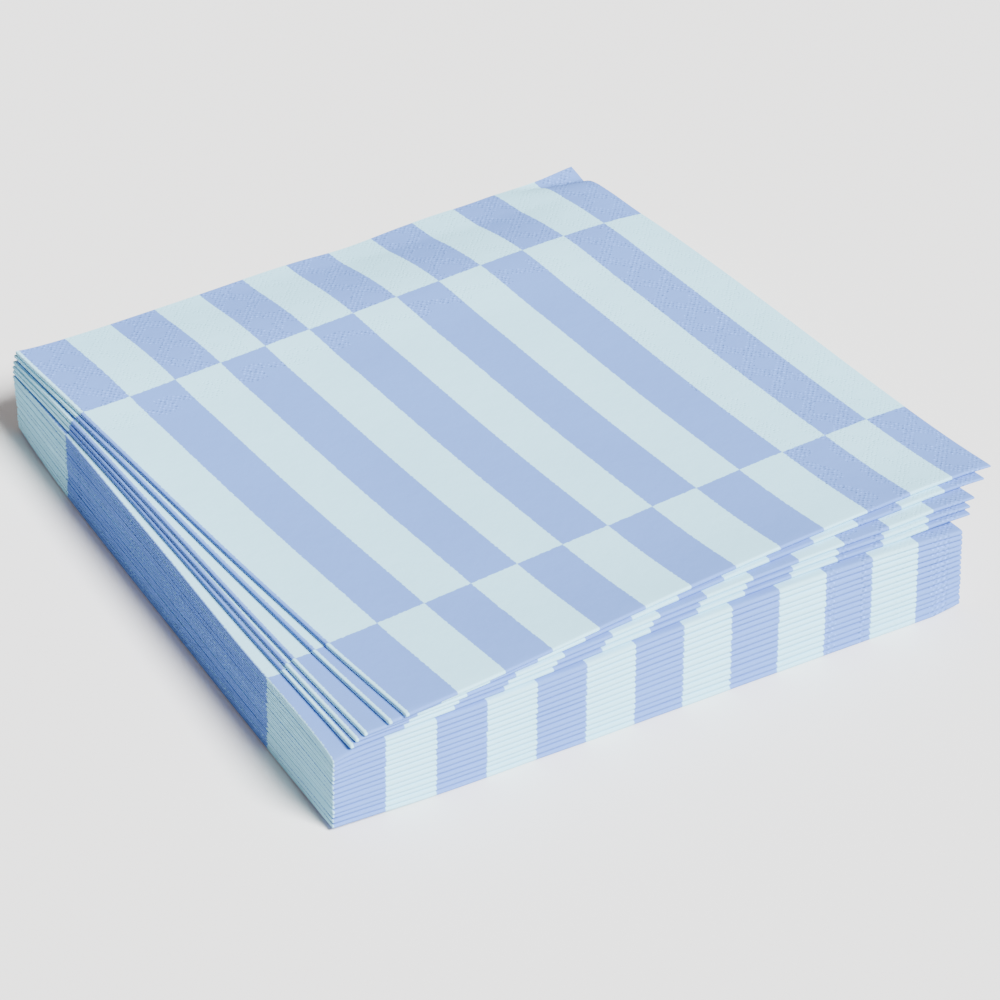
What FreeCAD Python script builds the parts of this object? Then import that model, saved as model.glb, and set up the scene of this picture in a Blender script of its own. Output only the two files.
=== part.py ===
# Stack of paper napkins: square tissue sheets, each folded in quarters, in a squared block
# with the topmost ones fanned round one corner of the block.
# Millimetres. +Z is up, +X runs along the front edge, where every napkin has its second fold,
# and +Y runs from the front edge to the open back edge. The origin is the centre of the
# underside of the bottom napkin, on the table.
import FreeCAD, Part
import math
import os

# The open sheet
open_side = 330.0        # side of one napkin, unfolded
sheet_thickness = 0.2    # three bonded plies of tissue

# The folds
crease_gap = 0.03        # air left between the two layers at the first fold
loop_width = 0.49        # inside width of the second fold's loop, where it springs open
open_edge_gap = 0.17     # air left between the two halves at the open back edge

# The squared block
block_count = 15

# The fanned napkins, from the lowest up: turn in degrees round the block's back left corner,
# and the slide that goes with it, towards the front
fan_turns = [1.5, 1.95, 2.6, 4.6, 5.9]
fan_slides = [0.0, 0.0, 0.5, 1.3, 2.4]

# Worked out from the sizes above
side = open_side / 2.0
strip = 2.0 * sheet_thickness + crease_gap
# The first fold is a pressed crease, with its outer corners taken off as on half an octagon
crease_bevel = strip * (1.0 - math.sqrt(0.5))
loop_radius = loop_width / 2.0
second_fold_radius = strip + loop_radius
straight = side - second_fold_radius
wedge = math.atan((loop_width - open_edge_gap) / straight)
# A layer on the outside of the second fold goes the longer way round, and so ends short
stagger = math.pi * (sheet_thickness + crease_gap) / 2.0

X_AXIS = FreeCAD.Vector(1, 0, 0)
Z_AXIS = FreeCAD.Vector(0, 0, 1)


def once_folded_section():
    """The sheet folded once, cut across the fold: two layers joined by a wall at x = 0."""
    inner_low = sheet_thickness
    inner_high = sheet_thickness + crease_gap
    outline = [
        (side, 0),
        (crease_bevel, 0),
        (0, crease_bevel),
        (0, strip - crease_bevel),
        (crease_bevel, strip),
        (side, strip),
        (side, inner_high),
        (sheet_thickness, inner_high),
        (sheet_thickness, inner_low),
        (side, inner_low),
    ]
    corners = [FreeCAD.Vector(x, second_fold_radius, z) for x, z in outline]
    return Part.Face(Part.makePolygon(corners + corners[:1]))


def layer_end():
    """What the outer layer of a strip lacks at the open back edge."""
    return Part.makeBox(
        side, stagger, strip / 2.0, FreeCAD.Vector(0, side - stagger, 0)
    )


def folded_napkin():
    """One napkin folded in quarters: underside on z = 0, first fold at x = 0, second at y = 0."""
    section = once_folded_section()
    centre = FreeCAD.Vector(0, second_fold_radius, second_fold_radius)
    turn = 180.0 + math.degrees(wedge)
    lower = section.extrude(FreeCAD.Vector(0, straight, 0)).cut(layer_end())
    bend = section.revolve(centre, -X_AXIS, turn)
    # The upper half is the lower one turned over the loop, so that it runs back over it
    upper = lower.mirror(centre, FreeCAD.Vector(0, 0, 1))
    upper.rotate(centre, -X_AXIS, math.degrees(wedge))
    return lower.fuse([bend, upper]).removeSplitter()


def top_of_napkin():
    """The plane on which the next napkin lies, in the frame of the one below it."""
    tilt = FreeCAD.Rotation(-X_AXIS, math.degrees(wedge))
    centre = FreeCAD.Vector(0, second_fold_radius, second_fold_radius)
    # The next napkin's loop is seated right over this one's, square to the plane between them
    next_centre = centre + tilt.multVec(Z_AXIS * (2.0 * second_fold_radius))
    return FreeCAD.Placement(next_centre - tilt.multVec(centre), tilt)


def fanned(turn, slide):
    """A turn round the back left corner, with a slide towards the front."""
    corner = FreeCAD.Vector(0, side, 0)
    rotation = FreeCAD.Rotation(Z_AXIS, turn)
    shift = corner - rotation.multVec(corner) - FreeCAD.Vector(0, slide, 0)
    return FreeCAD.Placement(shift, rotation)


def stack():
    """Every napkin of the stack, from the table up."""
    poses = [FreeCAD.Placement()] * block_count
    poses += [fanned(turn, slide) for turn, slide in zip(fan_turns, fan_slides)]
    plane = FreeCAD.Placement(FreeCAD.Vector(-side / 2, -side / 2, 0), FreeCAD.Rotation())
    napkin = folded_napkin()
    napkins = []
    for pose in poses:
        laid = napkin.copy()
        laid.Placement = plane.multiply(pose)
        napkins.append(laid)
        # The plane keeps the block's own direction, whichever way this napkin is turned
        plane = plane.multiply(pose).multiply(top_of_napkin()).multiply(pose.inverse())
    return napkins


os.makedirs("parts", exist_ok=True)
for number, napkin in enumerate(stack(), 1):
    napkin.exportStep("parts/napkin_%02d.step" % number)
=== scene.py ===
import math
import random

import bmesh
import bpy
from mathutils import Matrix, Vector, noise


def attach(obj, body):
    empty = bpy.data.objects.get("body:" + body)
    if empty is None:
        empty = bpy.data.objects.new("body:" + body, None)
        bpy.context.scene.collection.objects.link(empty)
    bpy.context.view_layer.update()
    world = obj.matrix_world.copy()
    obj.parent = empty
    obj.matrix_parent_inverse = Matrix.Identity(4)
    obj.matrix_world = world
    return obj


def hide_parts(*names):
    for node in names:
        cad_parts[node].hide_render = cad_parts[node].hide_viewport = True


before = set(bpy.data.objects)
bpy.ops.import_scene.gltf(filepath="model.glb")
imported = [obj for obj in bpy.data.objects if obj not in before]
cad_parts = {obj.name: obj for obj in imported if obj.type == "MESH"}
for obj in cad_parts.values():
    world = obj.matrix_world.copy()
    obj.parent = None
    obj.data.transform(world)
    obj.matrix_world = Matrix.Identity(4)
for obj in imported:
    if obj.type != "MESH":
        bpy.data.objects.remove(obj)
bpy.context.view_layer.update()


# The view: the stack is seen from its front left with a long lens, from a little over a metre
# away and about 37 degrees above the table.
lens = bpy.data.cameras.new("long_lens")
lens.sensor_width = 36.0
lens.lens = 156.4234
lens.clip_start = 0.05
camera = bpy.data.objects.new("view", lens)
right = Vector((0.869498, -0.493340, 0.024249))
up = Vector((0.283232, 0.538204, 0.793798))
forward = Vector((0.404664, 0.683338, -0.607697))
turn = Matrix((right, up, -forward)).transposed().to_4x4()
camera.matrix_world = Matrix.Translation((-0.41219, -0.70581, 0.63163)) @ turn
bpy.context.scene.collection.objects.link(camera)
bpy.context.scene.camera = camera


# The paper: three thin plies of white tissue, pressed together by rows of embossed dots round
# the border of the sheet. The middle is left smooth.
SHEET = 330.0           # side of one napkin, unfolded, in millimetres
DOT_PITCH = 1.02        # from one embossed dot to the next, along the sheet's diagonals
BAND_PITCH = 4.065      # half the distance between two crossing bands of dots
BAND_GAP = 1.55         # how far the smooth diamonds between the bands reach
BORDER = (127.0, 124.5)  # where the border begins, from the middle of the sheet outwards
FIELD_START = 10.5      # the bands begin this far inside the border
HEM = 6.5               # the zigzag of dots along its inner edge is this wide


def link(tree, *pairs):
    for start, end in pairs:
        tree.links.new(start, end)


def maths(tree, operation, *values, clamp=False):
    node = tree.nodes.new("ShaderNodeMath")
    node.operation = operation
    node.use_clamp = clamp
    for socket, value in zip(node.inputs, values):
        if isinstance(value, (int, float)):
            socket.default_value = value
        else:
            tree.links.new(value, socket)
    return node.outputs[0]


def noise_value(tree, vector, scale, detail=2.0, roughness=0.5):
    node = tree.nodes.new("ShaderNodeTexNoise")
    node.inputs["Scale"].default_value = scale
    node.inputs["Detail"].default_value = detail
    node.inputs["Roughness"].default_value = roughness
    tree.links.new(vector, node.inputs["Vector"])
    return node.outputs["Fac"]


def embossed_tissue():
    """Group: sheet coordinates in millimetres to the dots of the border, a mask for painted highlight
    round them, and the fibres.
    """
    group = bpy.data.node_groups.new("embossed_tissue", "ShaderNodeTree")
    group.interface.new_socket("Sheet", in_out="INPUT", socket_type="NodeSocketVector")
    group.interface.new_socket("Dots", in_out="OUTPUT", socket_type="NodeSocketFloat")
    group.interface.new_socket("Rim_Highlight", in_out="OUTPUT", socket_type="NodeSocketFloat")
    group.interface.new_socket("Fibres", in_out="OUTPUT", socket_type="NodeSocketFloat")
    group.interface.new_socket("Height", in_out="OUTPUT", socket_type="NodeSocketFloat")
    start = group.nodes.new("NodeGroupInput")
    end = group.nodes.new("NodeGroupOutput")
    sheet = start.outputs["Sheet"]
    apart = group.nodes.new("ShaderNodeSeparateXYZ")
    link(group, (sheet, apart.inputs[0]))
    a, b = apart.outputs["X"], apart.outputs["Y"]

    def m(*given, **named):
        return maths(group, *given, **named)

    # The two diagonals of the sheet, along which the dots are set, not quite in line
    astray = m("MULTIPLY", m("SUBTRACT", noise_value(group, sheet, 0.8, 2.0), 0.5), 1.1)
    p = m("ADD", m("MULTIPLY", m("ADD", a, b), 0.70711), astray)
    q = m("ADD", m("MULTIPLY", m("SUBTRACT", a, b), 0.70711), astray)
    turns = 2.0 * math.pi / DOT_PITCH
    wave = m("ADD", m("COSINE", m("MULTIPLY", p, turns)), m("COSINE", m("MULTIPLY", q, turns)))
    dots = m("MULTIPLY", m("SUBTRACT", wave, 0.3), 0.9, clamp=True)
    # Distance inside the embossed border
    across = m("SUBTRACT", m("ABSOLUTE", a), BORDER[0])
    inside = m("MAXIMUM", across, m("SUBTRACT", m("ABSOLUTE", b), BORDER[1]))
    # Crossing bands of dots leave smooth diamonds between them
    gap_p = m("GREATER_THAN", m("PINGPONG", m("ADD", p, 1.0), BAND_PITCH), BAND_GAP)
    gap_q = m("GREATER_THAN", m("PINGPONG", m("ADD", q, 1.0), BAND_PITCH), BAND_GAP)
    bands = m("SUBTRACT", 1.0, m("MULTIPLY", gap_p, gap_q))
    field = m("MULTIPLY", bands, m("GREATER_THAN", inside, FIELD_START))
    edge = m("MULTIPLY", m("GREATER_THAN", inside, 0.0), m("LESS_THAN", inside, HEM))
    along = m("PINGPONG", m("ADD", a, b), 6.0)
    line = m("ADD", 0.4, m("MULTIPLY", along, 0.9))
    zigzag = m("LESS_THAN", m("ABSOLUTE", m("SUBTRACT", inside, line)), 2.2)
    where = m("ADD", field, m("MULTIPLY", edge, zigzag), clamp=True)
    # Not every dot is pressed as deep as the next
    uneven = m("MULTIPLY", m("SUBTRACT", noise_value(group, sheet, 0.9, 1.0), 0.36), 3.5, clamp=True)
    dots = m("MULTIPLY", m("MULTIPLY", dots, where), uneven)
    # The paper between the dots: a mask used only for painted highlight in the base colour
    rim_highlight = m("MULTIPLY", m("SUBTRACT", -0.7, wave), 0.8, clamp=True)
    rim_highlight = m("MULTIPLY", m("MULTIPLY", rim_highlight, where), m("SUBTRACT", 1.0, uneven))
    fibres = noise_value(group, sheet, 1.5, 2.0, 0.5)
    soft = noise_value(group, sheet, 0.25, 2.0, 0.5)
    paper = m("ADD", m("MULTIPLY", fibres, 0.012), m("MULTIPLY", soft, 0.12))
    height = m("ADD", m("MULTIPLY", dots, -0.11), paper)
    link(group, (dots, end.inputs["Dots"]), (rim_highlight, end.inputs["Rim_Highlight"]))
    link(group, (fibres, end.inputs["Fibres"]), (height, end.inputs["Height"]))
    return group


TISSUE = embossed_tissue()


def tissue_material(name):
    """A matt paper material, with the tissue group placed on the sheet's own coordinates."""
    material = bpy.data.materials.new(name)
    material.use_nodes = True
    tree = material.node_tree
    shader = tree.nodes["Principled BSDF"]
    shader.inputs["Roughness"].default_value = 0.95
    shader.inputs["Specular IOR Level"].default_value = 0.15
    layout = tree.nodes.new("ShaderNodeUVMap")
    layout.uv_map = "sheet"
    scale = tree.nodes.new("ShaderNodeMapping")
    scale.inputs["Location"].default_value = (-SHEET / 2.0, -SHEET / 2.0, 0.0)
    scale.inputs["Scale"].default_value = (SHEET, SHEET, 1.0)
    tissue = tree.nodes.new("ShaderNodeGroup")
    tissue.node_tree = TISSUE
    bump = tree.nodes.new("ShaderNodeBump")
    bump.inputs["Strength"].default_value = 0.8
    bump.inputs["Distance"].default_value = 0.001
    link(
        tree,
        (layout.outputs[0], scale.inputs["Vector"]),
        (scale.outputs[0], tissue.inputs["Sheet"]),
        (tissue.outputs["Height"], bump.inputs["Height"]),
        (bump.outputs[0], shader.inputs["Normal"]),
    )
    return material, tree, shader, scale.outputs[0], tissue


def mixed(tree, factor, first, second, blend="MIX"):
    node = tree.nodes.new("ShaderNodeMix")
    node.data_type = "RGBA"
    node.blend_type = blend
    for name, value in (("Factor", factor), ("A", first), ("B", second)):
        socket = node.inputs[name]
        if isinstance(value, bpy.types.NodeSocket):
            tree.links.new(value, socket)
        else:
            socket.default_value = value
    return node.outputs["Result"]


def plain_tissue():
    """The unprinted inner side of the sheet, and its cut edge."""
    material, tree, shader, sheet, tissue = tissue_material("plain_tissue")
    shade = maths(tree, "ADD", 0.82, maths(tree, "MULTIPLY", tissue.outputs["Fibres"], 0.06))
    colour = tree.nodes.new("ShaderNodeCombineColor")
    link(tree, (shade, colour.inputs[0]), (shade, colour.inputs[1]), (shade, colour.inputs[2]))
    link(tree, (colour.outputs[0], shader.inputs["Base Color"]))
    return material


def striped_tissue():
    """The printed side: blue and mint stripes, which change places along two lines on each half."""
    material, tree, shader, sheet, tissue = tissue_material("striped_tissue")

    def m(*given, **named):
        return maths(tree, *given, **named)

    apart = tree.nodes.new("ShaderNodeSeparateXYZ")
    link(tree, (sheet, apart.inputs[0]))
    # The ink's edge follows the fibres, by a few hundredths of a millimetre
    ragged = m("MULTIPLY", m("SUBTRACT", noise_value(tree, sheet, 1.3, 3.0), 0.5), 0.7)
    a = m("ADD", m("SUBTRACT", apart.outputs["X"], STRIPE_SHIFT), ragged)
    b = m("ADD", m("ABSOLUTE", apart.outputs["Y"]), ragged)
    sharp = 5.0
    swing = m("SINE", m("MULTIPLY", a, math.pi / STRIPE))
    even = m("ADD", m("MULTIPLY", swing, sharp * STRIPE / math.pi), 0.5, clamp=True)
    front = m("ADD", m("MULTIPLY", m("SUBTRACT", FRONT_LINE, b), sharp), 0.5, clamp=True)
    back = m("ADD", m("MULTIPLY", m("SUBTRACT", b, BACK_LINE), sharp), 0.5, clamp=True)
    outer = m("ADD", front, back, clamp=True)
    blue = m("SUBTRACT", 1.0, m("ABSOLUTE", m("SUBTRACT", even, outer)))
    colour = mixed(tree, blue, MINT, BLUE)
    # Ink lies a little thinner here and there; on the blue the dots are darkened with painted shade and
    # their rims lightened with painted highlight
    cloud = m("ADD", 0.95, m("MULTIPLY", noise_value(tree, sheet, 0.045, 3.0), 0.10))
    cloud = m("MULTIPLY", cloud, m("ADD", 0.97, m("MULTIPLY", tissue.outputs["Fibres"], 0.06)))
    # Painted shade in the embossed dots and painted highlight round them, on the blue stripes only
    painted_pit_shade = m("MULTIPLY", tissue.outputs["Dots"], m("MULTIPLY", blue, 0.31))
    painted_rim_highlight = m("MULTIPLY", tissue.outputs["Rim_Highlight"], m("MULTIPLY", blue, 0.6))
    shade = m("MULTIPLY", cloud, m("ADD", m("SUBTRACT", 1.0, painted_pit_shade), painted_rim_highlight))
    grey = tree.nodes.new("ShaderNodeCombineColor")
    link(tree, (shade, grey.inputs[0]), (shade, grey.inputs[1]), (shade, grey.inputs[2]))
    link(tree, (mixed(tree, 1.0, colour, grey.outputs[0], "MULTIPLY"), shader.inputs["Base Color"]))
    return material


STRIPE = 165.0 / 13.0      # width of a stripe
STRIPE_SHIFT = 0.8         # the print runs this far off the first fold
FRONT_LINE = 31.2          # the stripes change places this far from the second fold,
BACK_LINE = 135.1          # and again here, towards the open edge
BLUE = (0.135, 0.262, 0.660, 1.0)
MINT = (0.390, 0.770, 0.940, 1.0)

PRINTED = striped_tissue()
PLAIN = plain_tissue()


# The squared block: fifteen napkins with their second folds in front and their first folds on
# the left. Each is one square sheet, folded in half and in half again, and they lie loose.
SIDE = SHEET / 2.0
THICK = 0.2     # the three plies of the tissue
AIR = 0.03      # between two layers pressed together
LOOSE = 0.015   # between two napkins
BLOCK = 15
PILE = 19.42    # height of the block, before its folds spring open
BACK_DROP = 3.32   # how much lower its open back edge lies
CORNER = Vector((-SIDE / 2.0, -SIDE / 2.0, 0.0))   # the block's front left corner


def bell(distance, reach):
    """1 at no distance, falling smoothly to 0 at the reach."""
    return 0.5 * (1.0 + math.cos(math.pi * min(abs(distance) / reach, 1.0)))


def pile_height(x, y):
    """Height of the block before its folds spring open, over its front left corner's axes."""
    along = x / SIDE
    y = max(y, 0.0)
    back = y / SIDE
    height = PILE - back**4.28 * (BACK_DROP - 0.57 * (0.5 - along))
    height += (0.82 + 2.15 * along * along) * math.exp(-y / 30.0)
    height -= 1.15 * max(along, 0.0) ** 10 * (1.0 - math.exp(-y / 14.0))
    # The smooth middle settles, and the embossed border stands a little higher
    swell = 0.45 * bell(y - 8.0, 25.0) - 0.9 * bell(y - 82.0, 58.0) + 0.85 * bell(y - 147.0, 24.0)
    swell *= (1.0 - math.exp(-max(x, 0.0) / 10.0)) * (1.0 - math.exp(-max(SIDE + 4.0 - x, 0.0) / 12.0))
    # The first folds bulge a little behind the front corner, and the back right is pressed down
    bulge = 0.9 * math.exp(-max(x, 0.0) / 3.5) * bell(y - 16.0, 34.0)
    sag = 0.6 * (1.0 - bell(max(x - 70.0, 0.0), 25.0)) * math.exp(-max(SIDE - y, 0.0) / 8.0)
    return height + swell + bulge - sag


def block_top(x, y):
    """Top of the block: the second folds spring open, most of all right of the middle."""
    spring = (0.8 + 1.9 * bell(x - 108.0, 75.0)) * (1.0 - math.exp(-max(x + 1.0, 0.0) / 4.0))
    spring *= 1.0 - math.exp(-max(SIDE + 1.0 - x, 0.0) / 9.0)
    return pile_height(x, y) + 1.0 + spring * math.exp(-max(y, 0.0) / 12.0)


def block_base(x, y):
    """Underside of the block: its corners stand a little off the table."""
    left = math.exp(-((y / 20.0) ** 2)) + math.exp(-(((SIDE - y) / 24.0) ** 2))
    left *= math.exp(-((x / 20.0) ** 2))
    right = math.exp(-max(y, 0.0) / 5.0) + math.exp(-max(SIDE - y, 0.0) / 5.0)
    right *= math.exp(-max(SIDE - x, 0.0) / 1.5)
    return min(left, 1.0) + 1.2 * right


def grid_lines(first, growth, widest, last):
    """Distances from a fold to the lines of the sheet's mesh, close together at the fold."""
    lines = [0.0]
    step = first
    while lines[-1] + step < SIDE - step * 0.5:
        lines.append(lines[-1] + step)
        step = min(step * growth, widest if lines[-1] < SIDE - 22.0 else last)
    lines.append(SIDE)
    return lines


def flat_sheet(name, lines, shift):
    """The open sheet as a grid, with the print's coordinates on it."""
    steps = len(lines) - 1
    sheet = bmesh.new()
    bmesh.ops.create_grid(sheet, x_segments=2 * steps, y_segments=2 * steps, size=steps)
    for vert in sheet.verts:
        for axis in (0, 1):
            count = round(vert.co[axis])
            vert.co[axis] = math.copysign(lines[abs(count)], count)
    layout = sheet.loops.layers.uv.new("sheet")
    for edge in sheet.edges:
        edge.smooth = not edge.is_boundary
    for face in sheet.faces:
        face.smooth = True
        for loop in face.loops:
            a, b, _ = loop.vert.co
            loop[layout].uv = ((a + shift[0]) / SHEET + 0.5, (b + shift[1]) / SHEET + 0.5)
    return sheet


def folded(a, b, low, high, partings):
    """Where the point (a, b) of the open sheet lies once it is folded in quarters.

    low and high give the underside and the top of the napkin over its own plan, and the
    partings are the widest gaps that it leaves at its first and at its second fold."""
    along = min(abs(b), SIDE)
    flatness = 0.75   # a second fold stands out by this share of its half height
    first = partings[0] * (0.7 + 0.8 * noise.noise(Vector((along / 22.0, partings[0] * 900.0, 0.0))))
    outer = THICK / 2.0 + LOOSE + first * math.exp(-abs(a) / 1.5)
    crease = 0.49 * (high(0.0, along) - low(0.0, along)) - LOOSE - first
    ring = (crease - THICK) / 2.0
    quarter = math.pi * ring / 2.0
    if abs(a) < quarter:
        turn = a / ring
        u = THICK / 2.0 + ring * (1.0 - math.cos(turn))
        depth = outer + ring * (1.0 - math.sin(turn))
    else:
        u = THICK / 2.0 + ring + abs(a) - quarter
        opening = (2.0 * ring - THICK - AIR) * math.exp((quarter - abs(a)) / 3.0)
        depth = outer if a > 0 else outer + THICK + AIR + opening
    half = (high(u, 0.0) - low(u, 0.0)) / 2.0
    centre = flatness * half
    second = partings[1] * (0.6 + 0.8 * noise.noise(Vector((u / 22.0, partings[1] * 900.0, 0.0))))
    bend = max(half - depth - second, 0.1)
    reach = bend * math.pi / 2.0 * math.sqrt((1.0 + flatness**2) / 2.0)
    if abs(b) < reach:
        turn = b / reach * math.pi / 2.0
        v = centre - flatness * bend * math.cos(turn)
        middle = (high(u, centre) + low(u, centre)) / 2.0
        return u, v, middle + bend * math.sin(turn)
    v = centre + abs(b) - reach
    depth += second * math.exp((centre - v) / 1.5)
    return u, v, high(u, v) - depth if b > 0 else low(u, v) + depth


def napkin(number, sheet, place):
    """Moves the flat sheet into its folds and makes the napkin's object."""
    for vert in sheet.verts:
        vert.co = (CORNER + place(vert.co.x, vert.co.y)) * 0.001
    mesh = bpy.data.meshes.new("folded_napkin_%02d" % number)
    sheet.to_mesh(mesh)
    sheet.free()
    piece = bpy.data.objects.new("folded_napkin_%02d" % number, mesh)
    bpy.context.scene.collection.objects.link(piece)
    mesh.materials.append(PRINTED)
    mesh.materials.append(PLAIN)
    plies = piece.modifiers.new("plies", "SOLIDIFY")
    plies.thickness = THICK * 0.001
    plies.offset = 0.0
    plies.material_offset = 1
    plies.material_offset_rim = 1
    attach(piece, "root")
    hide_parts("napkin_%02d" % number)
    return piece


def block_napkin(number):
    draw = random.Random(400 + number)
    shift = (draw.uniform(0.42, 0.58), draw.uniform(-0.4, 0.4))
    slip = Vector((draw.uniform(-0.04, 0.04), draw.uniform(-0.12, 0.12), 0.0))
    partings = (draw.uniform(0.10, 0.21), draw.uniform(0.14, 0.28))
    seed = Vector((draw.uniform(0, 50), draw.uniform(0, 50), number * 7.0))
    share = number / BLOCK
    turned = math.radians(draw.uniform(-0.035, 0.035))

    def level(count, x, y):
        wander = 0.0
        if 0 < count < BLOCK:
            wander = 0.16 * noise.noise(Vector((x / 60.0, y / 60.0, count * 3.7)))
        base = block_base(x, y)
        return base + (block_top(x, y) - base) * (count + wander) / BLOCK

    def low(u, v):
        return level(number - 1, u, v)

    def high(u, v):
        return level(number, u, v)

    def place(a, b):
        u, v, z = folded(a, b, low, high, partings)
        wave = 0.09 * noise.noise(Vector((u / 35.0, v / 35.0, 0.0)) + seed)
        x = u * math.cos(turned) - v * math.sin(turned) + wave
        y = v * math.cos(turned) + u * math.sin(turned) + wave
        # The stack leans a little, and its top corner in front is pressed down
        back = min(max(v / SIDE, 0.0), 1.0)
        x += (1.0 - share) * back**2 * (0.9 - 1.3 * (1.0 - back**8)) - 1.5 * share * u / SIDE
        y += 0.9 * (u / SIDE) ** 2
        z -= 1.2 * share**5 * math.exp(-(max(u, 0.0) + max(v, 0.0)) / 3.5)
        return Vector((x, y, z)) + slip

    lines = grid_lines(0.13, 1.4, 5.6, 5.6)
    return napkin(number, flat_sheet("sheet", lines, shift), place)


for number in range(1, BLOCK + 1):
    block_napkin(number)


# The fan: the five napkins on top of the block, the same sheets folded the same way. They are
# turned round the block's back left corner, each a little further, and droop past its edges.
FAN_TURNS = [1.5, 1.95, 2.6, 4.6, 5.9]
FAN_SLIDES = [0.0, 0.0, 0.5, 1.3, 2.4]
FAN_SHORT = [1.5, 1.9, 1.6, 0.6, 0.0]   # how much less than half the sheet each is folded to
FAN_LIFTS = [0.1, 0.2, 0.4, 0.8, 1.0]   # share of the top napkin's lift that each one has


def fan_plan(index, u, v):
    """From a fanned napkin's own plan to the block's."""
    turned = math.radians(FAN_TURNS[index])
    x = u * math.cos(turned) + (SIDE - v) * math.sin(turned)
    y = SIDE + u * math.sin(turned) - (SIDE - v) * math.cos(turned) - FAN_SLIDES[index]
    return x, y


def from_crease(index, x, y):
    """How far a point of the block's plan is from a fanned napkin's first fold."""
    turned = math.radians(FAN_TURNS[index])
    return x * math.cos(turned) + (y - SIDE + FAN_SLIDES[index]) * math.sin(turned)


def top_plan(x, y):
    """From the block's plan to the top napkin's own."""
    turned = math.radians(FAN_TURNS[-1])
    y += FAN_SLIDES[-1] - SIDE
    return x * math.cos(turned) + y * math.sin(turned), SIDE + y * math.cos(turned) - x * math.sin(turned)


def back_edge_lift(x, y):
    """How far the top napkin's free back edge stands off, most of all at its left corner."""
    u, v = top_plan(x, y)
    u = max(u, 0.0)
    lift = 1.9 * math.exp(-u / 75.0) + 1.2 * math.exp(-u / 12.0)
    lift *= (1.0 - 0.95 * bell(u - 96.0, 16.0)) * (1.0 - 0.9 * bell(u - 136.0, 15.0))
    lift *= math.exp(-max(SIDE - v, 0.0) / (9.0 + 18.0 * math.exp(-u / 30.0)))
    return lift + 1.9 * bell(u - 170.0, 45.0) * bell(v - 158.0, 24.0)


def corner_crease(x, y):
    """Depth of the crease past which the fan's back right corner turns up again."""
    u, v = top_plan(x, y)
    past = v - 159.5 - 0.233 * (SIDE - u)
    crease = math.exp(past / 3.0) if past < 0.0 else max(1.0 - past / 5.5, 0.0)
    behind = 1.0 - math.exp(-max(y - SIDE, 0.0) / 2.0)
    return 2.4 * bell(min(u - 160.0, 0.0), 24.0) * crease * behind


def fan_level(count, x, y):
    """Top of the fanned napkin with that count, over the block's plan, without its lift."""
    height = block_top(x, y) - corner_crease(x, y) + 3.0 * LOOSE
    height += 1.6 * bell(x - 170.0, 25.0) * math.exp(-max(y, 0.0) / 18.0)
    for index in range(count):
        height += 0.869 * pile_height(min(x, SIDE), min(y, SIDE)) / BLOCK
        height += 0.106 * math.exp(-max(from_crease(index, x, y), 0.0) / 4.0)
    return height


def fan_napkin(index):
    number = BLOCK + 1 + index
    draw = random.Random(900 + number)
    shift = (draw.uniform(-0.15, 0.15), draw.uniform(-0.3, 0.3))

    def low(u, v):
        x, y = fan_plan(index, u, v)
        return fan_level(index, x, y) + FAN_LIFTS[index] * back_edge_lift(x, y)

    def high(u, v):
        x, y = fan_plan(index, u, v)
        nose = 0.4 * math.exp(-max(SIDE - u, 0.0) / 4.0 - max(v, 0.0) / 10.0)
        return fan_level(index + 1, x, y) + FAN_LIFTS[index] * back_edge_lift(x, y) - nose

    def place(a, b):
        u, v, z = folded(a, b, low, high, (0.04, 0.18))
        x, y = fan_plan(index, u - FAN_SHORT[index] * u / SIDE, v)
        return Vector((x, y, z))

    lines = grid_lines(0.09, 1.25, 2.6, 1.3) if number == 20 else grid_lines(0.09, 1.25, 3.7, 2.6)
    return napkin(number, flat_sheet("sheet", lines, shift), place)


for index in range(len(FAN_TURNS)):
    fan_napkin(index)


# The table: a plain pale surface, not part of the stack.
table = bmesh.new()
bmesh.ops.create_grid(table, x_segments=1, y_segments=1, size=4.0)
mesh = bpy.data.meshes.new("floor")
table.to_mesh(mesh)
table.free()
floor = bpy.data.objects.new("floor", mesh)
bpy.context.scene.collection.objects.link(floor)
pale = bpy.data.materials.new("pale_table")
pale.use_nodes = True
shader = pale.node_tree.nodes["Principled BSDF"]
shader.inputs["Base Color"].default_value = (0.85, 0.85, 0.85, 1.0)
shader.inputs["Roughness"].default_value = 0.9
shader.inputs["Specular IOR Level"].default_value = 0.1
mesh.materials.append(pale)


# The light: one broad soft lamp from the front right, and an even, slightly warm fill all round.
room = bpy.data.worlds.new("studio")
room.use_nodes = True
room.node_tree.nodes["Background"].inputs["Color"].default_value = (1.0, 0.90, 0.87, 1.0)
room.node_tree.nodes["Background"].inputs["Strength"].default_value = 0.30
bpy.context.scene.world = room
key = bpy.data.lights.new("soft_key", "SUN")
key.energy = 12.3
key.angle = math.radians(22.0)
key.color = (1.0, 0.995, 0.985)
lamp = bpy.data.objects.new("soft_key", key)
aside = math.radians(20.0)
above = math.radians(49.0)
towards = Vector((math.sin(aside), -math.cos(aside), math.tan(above)))
lamp.rotation_euler = towards.to_track_quat("Z", "Y").to_euler()
bpy.context.scene.collection.objects.link(lamp)
